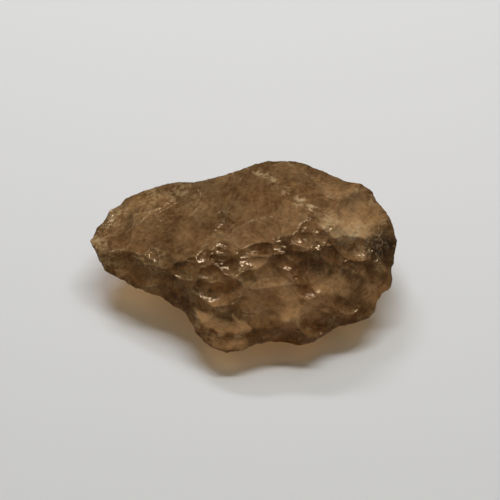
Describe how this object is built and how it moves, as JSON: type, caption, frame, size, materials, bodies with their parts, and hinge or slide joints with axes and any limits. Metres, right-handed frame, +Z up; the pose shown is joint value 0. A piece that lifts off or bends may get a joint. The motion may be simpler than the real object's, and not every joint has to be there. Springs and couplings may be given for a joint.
{
  "type": "rough smoky quartz chunk",
  "caption": "Rough broken chunk of see-through smoky quartz with shell-shaped fracture scars and a sharp rim all round, for display or as a paperweight, lying on a flat broken base.",
  "frame": {"origin": "middle of the outer box, on the plane of the flat broken base the stone rests on", "axes": "+X along the stone's length, from its thin pointed end to its blunt end; +Y from the low front lip to the high steep back; +Z up from the base"},
  "size_m": [0.0698, 0.0436, 0.0265],
  "materials": {
    "smoky_quartz": "shell-like fracture, glossy and translucent smoky brown"
  },
  "bodies": {
    "root": {"smoky_quartz_chunk": "smoky_quartz"}
  },
  "joints": []
}
